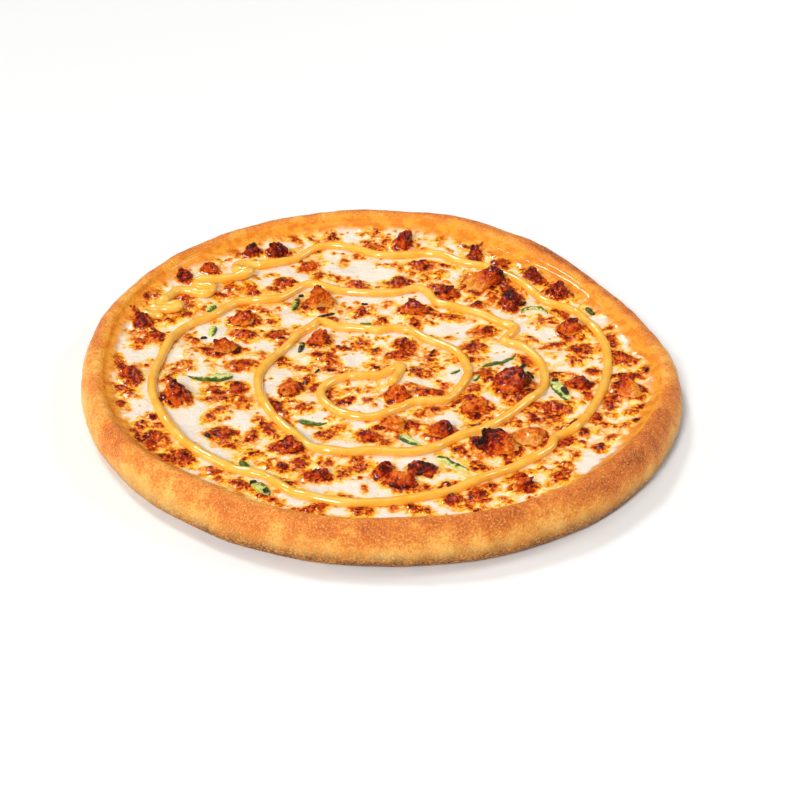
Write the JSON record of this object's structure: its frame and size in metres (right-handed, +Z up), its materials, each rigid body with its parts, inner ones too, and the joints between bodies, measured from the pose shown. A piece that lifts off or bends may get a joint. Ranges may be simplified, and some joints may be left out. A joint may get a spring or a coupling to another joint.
{
  "type": "cheese pizza",
  "caption": "Round thick-rimmed pizza with melted browned cheese, a spiral of thick sauce, browned chicken pieces and green pepper slices.",
  "frame": {"origin": "centre of the pizza's bounding box, on its flat underside", "axes": "+Z up out of the cheese, -Y towards the part of the rim nearest in the picture, +X towards the picture's right"},
  "size_m": [0.2919, 0.3029, 0.026],
  "materials": {
    "crust": "baked dough, golden with a brown crest",
    "cheese": "melted cheese with oily browned spots and yellow sauce",
    "chicken": "browned, slightly oily",
    "pepper": "cooked, slightly glossy"
  },
  "bodies": {
    "root": {"crust": "crust", "cheese": "cheese", "chicken_01": "chicken", "chicken_02": "chicken", "chicken_03": "chicken", "chicken_04": "chicken", "chicken_05": "chicken", "chicken_06": "chicken", "chicken_07": "chicken", "chicken_08": "chicken", "chicken_09": "chicken", "chicken_10": "chicken", "chicken_11": "chicken", "chicken_12": "chicken", "chicken_13": "chicken", "chicken_14": "chicken", "chicken_15": "chicken", "chicken_16": "chicken", "chicken_17": "chicken", "chicken_18": "chicken", "chicken_19": "chicken", "chicken_20": "chicken", "chicken_21": "chicken", "chicken_22": "chicken", "chicken_23": "chicken", "chicken_24": "chicken", "chicken_25": "chicken", "chicken_26": "chicken", "chicken_27": "chicken", "chicken_28": "chicken", "chicken_29": "chicken", "chicken_30": "chicken", "chicken_31": "chicken", "chicken_32": "chicken", "chicken_33": "chicken", "chicken_34": "chicken", "chicken_35": "chicken", "chicken_36": "chicken", "pepper_01": "pepper", "pepper_02": "pepper", "pepper_03": "pepper", "pepper_04": "pepper", "pepper_05": "pepper", "pepper_06": "pepper", "pepper_07": "pepper", "pepper_08": "pepper", "pepper_09": "pepper", "pepper_10": "pepper", "pepper_11": "pepper", "pepper_12": "pepper", "pepper_13": "pepper", "pepper_14": "pepper"}
  },
  "joints": []
}
